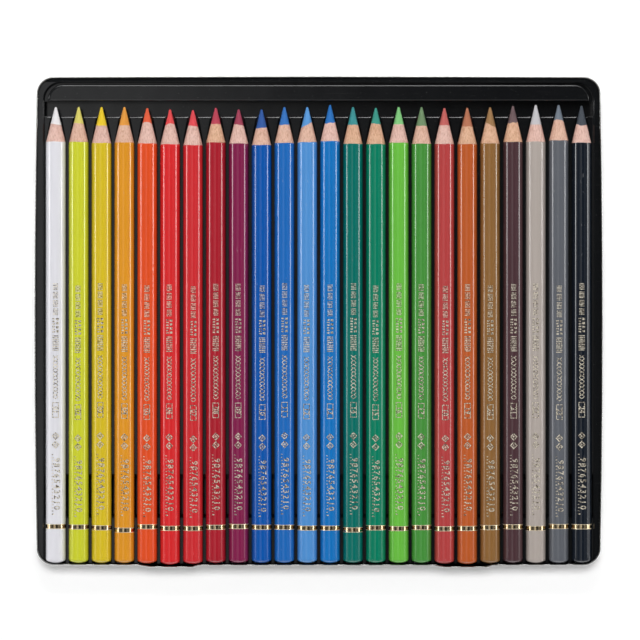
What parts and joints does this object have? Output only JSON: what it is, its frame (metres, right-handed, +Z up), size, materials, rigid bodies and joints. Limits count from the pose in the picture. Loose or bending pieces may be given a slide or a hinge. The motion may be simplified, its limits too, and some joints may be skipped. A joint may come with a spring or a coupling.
{
  "type": "coloured pencil box",
  "caption": "Flat open tin box with rounded corners, holding a row of round coloured pencils in a black moulded insert tray that lifts out.",
  "frame": {"origin": "on the standing surface, under the middle of the whole tin, its catch lugs included", "axes": "+X along the row of pencils, from the white to the black one; +Y towards the pencils' tips; +Z up, out of the open tin"},
  "size_m": [0.2182, 0.1886, 0.0128],
  "materials": {
    "tinplate": "satin bare tinplate with a fine rolled grain",
    "tray_plastic": "glossy black thermoformed sheet",
    "cedar": "bare sharpened cedar, faceted by the sharpener",
    "band_foil": "hot-stamped gold foil",
    "lacquer_white": "gloss white lacquer over cedar",
    "pigment_white": "waxy white pigment lead",
    "lacquer_lemon": "gloss lemon lacquer over cedar",
    "pigment_lemon": "waxy lemon pigment lead",
    "lacquer_yellow": "gloss yellow lacquer over cedar",
    "pigment_yellow": "waxy yellow pigment lead",
    "lacquer_amber": "gloss amber lacquer over cedar",
    "pigment_amber": "waxy amber pigment lead",
    "lacquer_orange": "gloss orange lacquer over cedar",
    "pigment_orange": "waxy orange pigment lead",
    "lacquer_scarlet": "gloss scarlet lacquer over cedar",
    "pigment_scarlet": "waxy scarlet pigment lead",
    "lacquer_red": "gloss red lacquer over cedar",
    "pigment_red": "waxy red pigment lead",
    "lacquer_crimson": "gloss crimson lacquer over cedar",
    "pigment_crimson": "waxy crimson pigment lead",
    "lacquer_magenta": "gloss magenta lacquer over cedar",
    "pigment_magenta": "waxy magenta pigment lead",
    "lacquer_ultramarine": "gloss ultramarine lacquer over cedar",
    "pigment_ultramarine": "waxy ultramarine pigment lead",
    "lacquer_blue": "gloss blue lacquer over cedar",
    "pigment_blue": "waxy blue pigment lead",
    "lacquer_sky_blue": "gloss sky blue lacquer over cedar",
    "pigment_sky_blue": "waxy sky blue pigment lead",
    "lacquer_cobalt": "gloss cobalt lacquer over cedar",
    "pigment_cobalt": "waxy cobalt pigment lead",
    "lacquer_teal": "gloss teal lacquer over cedar",
    "pigment_teal": "waxy teal pigment lead",
    "lacquer_emerald": "gloss emerald lacquer over cedar",
    "pigment_emerald": "waxy emerald pigment lead",
    "lacquer_light_green": "gloss light green lacquer over cedar",
    "pigment_light_green": "waxy light green pigment lead",
    "lacquer_leaf_green": "gloss leaf green lacquer over cedar",
    "pigment_leaf_green": "waxy leaf green pigment lead",
    "lacquer_red_brown": "gloss red brown lacquer over cedar",
    "pigment_red_brown": "waxy red brown pigment lead",
    "lacquer_terracotta": "gloss terracotta lacquer over cedar",
    "pigment_terracotta": "waxy terracotta pigment lead",
    "lacquer_ochre": "gloss ochre lacquer over cedar",
    "pigment_ochre": "waxy ochre pigment lead",
    "lacquer_dark_brown": "gloss dark brown lacquer over cedar",
    "pigment_dark_brown": "waxy dark brown pigment lead",
    "lacquer_warm_grey": "gloss warm grey lacquer over cedar",
    "pigment_warm_grey": "waxy warm grey pigment lead",
    "lacquer_slate": "gloss slate lacquer over cedar",
    "pigment_slate": "waxy slate pigment lead",
    "lacquer_black": "gloss black lacquer over cedar",
    "pigment_black": "waxy black pigment lead"
  },
  "bodies": {
    "tin": {"tin_base": "tinplate"},
    "tray": {"insert_tray": "tray_plastic"},
    "pencil_01_white": {"casing_01_white": "lacquer_white", "lead_01_white": "pigment_white"},
    "pencil_02_lemon": {"casing_02_lemon": "lacquer_lemon", "lead_02_lemon": "pigment_lemon"},
    "pencil_03_yellow": {"casing_03_yellow": "lacquer_yellow", "lead_03_yellow": "pigment_yellow"},
    "pencil_04_amber": {"casing_04_amber": "lacquer_amber", "lead_04_amber": "pigment_amber"},
    "pencil_05_orange": {"casing_05_orange": "lacquer_orange", "lead_05_orange": "pigment_orange"},
    "pencil_06_scarlet": {"casing_06_scarlet": "lacquer_scarlet", "lead_06_scarlet": "pigment_scarlet"},
    "pencil_07_red": {"casing_07_red": "lacquer_red", "lead_07_red": "pigment_red"},
    "pencil_08_crimson": {"casing_08_crimson": "lacquer_crimson", "lead_08_crimson": "pigment_crimson"},
    "pencil_09_magenta": {"casing_09_magenta": "lacquer_magenta", "lead_09_magenta": "pigment_magenta"},
    "pencil_10_ultramarine": {"casing_10_ultramarine": "lacquer_ultramarine", "lead_10_ultramarine": "pigment_ultramarine"},
    "pencil_11_blue": {"casing_11_blue": "lacquer_blue", "lead_11_blue": "pigment_blue"},
    "pencil_12_sky_blue": {"casing_12_sky_blue": "lacquer_sky_blue", "lead_12_sky_blue": "pigment_sky_blue"},
    "pencil_13_cobalt": {"casing_13_cobalt": "lacquer_cobalt", "lead_13_cobalt": "pigment_cobalt"},
    "pencil_14_teal": {"casing_14_teal": "lacquer_teal", "lead_14_teal": "pigment_teal"},
    "pencil_15_emerald": {"casing_15_emerald": "lacquer_emerald", "lead_15_emerald": "pigment_emerald"},
    "pencil_16_light_green": {"casing_16_light_green": "lacquer_light_green", "lead_16_light_green": "pigment_light_green"},
    "pencil_17_leaf_green": {"casing_17_leaf_green": "lacquer_leaf_green", "lead_17_leaf_green": "pigment_leaf_green"},
    "pencil_18_red_brown": {"casing_18_red_brown": "lacquer_red_brown", "lead_18_red_brown": "pigment_red_brown"},
    "pencil_19_terracotta": {"casing_19_terracotta": "lacquer_terracotta", "lead_19_terracotta": "pigment_terracotta"},
    "pencil_20_ochre": {"casing_20_ochre": "lacquer_ochre", "lead_20_ochre": "pigment_ochre"},
    "pencil_21_dark_brown": {"casing_21_dark_brown": "lacquer_dark_brown", "lead_21_dark_brown": "pigment_dark_brown"},
    "pencil_22_warm_grey": {"casing_22_warm_grey": "lacquer_warm_grey", "lead_22_warm_grey": "pigment_warm_grey"},
    "pencil_23_slate": {"casing_23_slate": "lacquer_slate", "lead_23_slate": "pigment_slate"},
    "pencil_24_black": {"casing_24_black": "lacquer_black", "lead_24_black": "pigment_black"}
  },
  "joints": [
    {"name": "insert_lift", "type": "slide", "parent": "tin", "child": "tray", "axis": [0, 0, 1], "range_m": [0, 0.04]},
    {"name": "pencil_01_lift", "type": "slide", "parent": "tray", "child": "pencil_01_white", "axis": [0, 0, 1], "range_m": [0, 0.025]},
    {"name": "pencil_02_lift", "type": "slide", "parent": "tray", "child": "pencil_02_lemon", "axis": [0, 0, 1], "range_m": [0, 0.025]},
    {"name": "pencil_03_lift", "type": "slide", "parent": "tray", "child": "pencil_03_yellow", "axis": [0, 0, 1], "range_m": [0, 0.025]},
    {"name": "pencil_04_lift", "type": "slide", "parent": "tray", "child": "pencil_04_amber", "axis": [0, 0, 1], "range_m": [0, 0.025]},
    {"name": "pencil_05_lift", "type": "slide", "parent": "tray", "child": "pencil_05_orange", "axis": [0, 0, 1], "range_m": [0, 0.025]},
    {"name": "pencil_06_lift", "type": "slide", "parent": "tray", "child": "pencil_06_scarlet", "axis": [0, 0, 1], "range_m": [0, 0.025]},
    {"name": "pencil_07_lift", "type": "slide", "parent": "tray", "child": "pencil_07_red", "axis": [0, 0, 1], "range_m": [0, 0.025]},
    {"name": "pencil_08_lift", "type": "slide", "parent": "tray", "child": "pencil_08_crimson", "axis": [0, 0, 1], "range_m": [0, 0.025]},
    {"name": "pencil_09_lift", "type": "slide", "parent": "tray", "child": "pencil_09_magenta", "axis": [0, 0, 1], "range_m": [0, 0.025]},
    {"name": "pencil_10_lift", "type": "slide", "parent": "tray", "child": "pencil_10_ultramarine", "axis": [0, 0, 1], "range_m": [0, 0.025]},
    {"name": "pencil_11_lift", "type": "slide", "parent": "tray", "child": "pencil_11_blue", "axis": [0, 0, 1], "range_m": [0, 0.025]},
    {"name": "pencil_12_lift", "type": "slide", "parent": "tray", "child": "pencil_12_sky_blue", "axis": [0, 0, 1], "range_m": [0, 0.025]},
    {"name": "pencil_13_lift", "type": "slide", "parent": "tray", "child": "pencil_13_cobalt", "axis": [0, 0, 1], "range_m": [0, 0.025]},
    {"name": "pencil_14_lift", "type": "slide", "parent": "tray", "child": "pencil_14_teal", "axis": [0, 0, 1], "range_m": [0, 0.025]},
    {"name": "pencil_15_lift", "type": "slide", "parent": "tray", "child": "pencil_15_emerald", "axis": [0, 0, 1], "range_m": [0, 0.025]},
    {"name": "pencil_16_lift", "type": "slide", "parent": "tray", "child": "pencil_16_light_green", "axis": [0, 0, 1], "range_m": [0, 0.025]},
    {"name": "pencil_17_lift", "type": "slide", "parent": "tray", "child": "pencil_17_leaf_green", "axis": [0, 0, 1], "range_m": [0, 0.025]},
    {"name": "pencil_18_lift", "type": "slide", "parent": "tray", "child": "pencil_18_red_brown", "axis": [0, 0, 1], "range_m": [0, 0.025]},
    {"name": "pencil_19_lift", "type": "slide", "parent": "tray", "child": "pencil_19_terracotta", "axis": [0, 0, 1], "range_m": [0, 0.025]},
    {"name": "pencil_20_lift", "type": "slide", "parent": "tray", "child": "pencil_20_ochre", "axis": [0, 0, 1], "range_m": [0, 0.025]},
    {"name": "pencil_21_lift", "type": "slide", "parent": "tray", "child": "pencil_21_dark_brown", "axis": [0, 0, 1], "range_m": [0, 0.025]},
    {"name": "pencil_22_lift", "type": "slide", "parent": "tray", "child": "pencil_22_warm_grey", "axis": [0, 0, 1], "range_m": [0, 0.025]},
    {"name": "pencil_23_lift", "type": "slide", "parent": "tray", "child": "pencil_23_slate", "axis": [0, 0, 1], "range_m": [0, 0.025]},
    {"name": "pencil_24_lift", "type": "slide", "parent": "tray", "child": "pencil_24_black", "axis": [0, 0, 1], "range_m": [0, 0.025]}
  ]
}
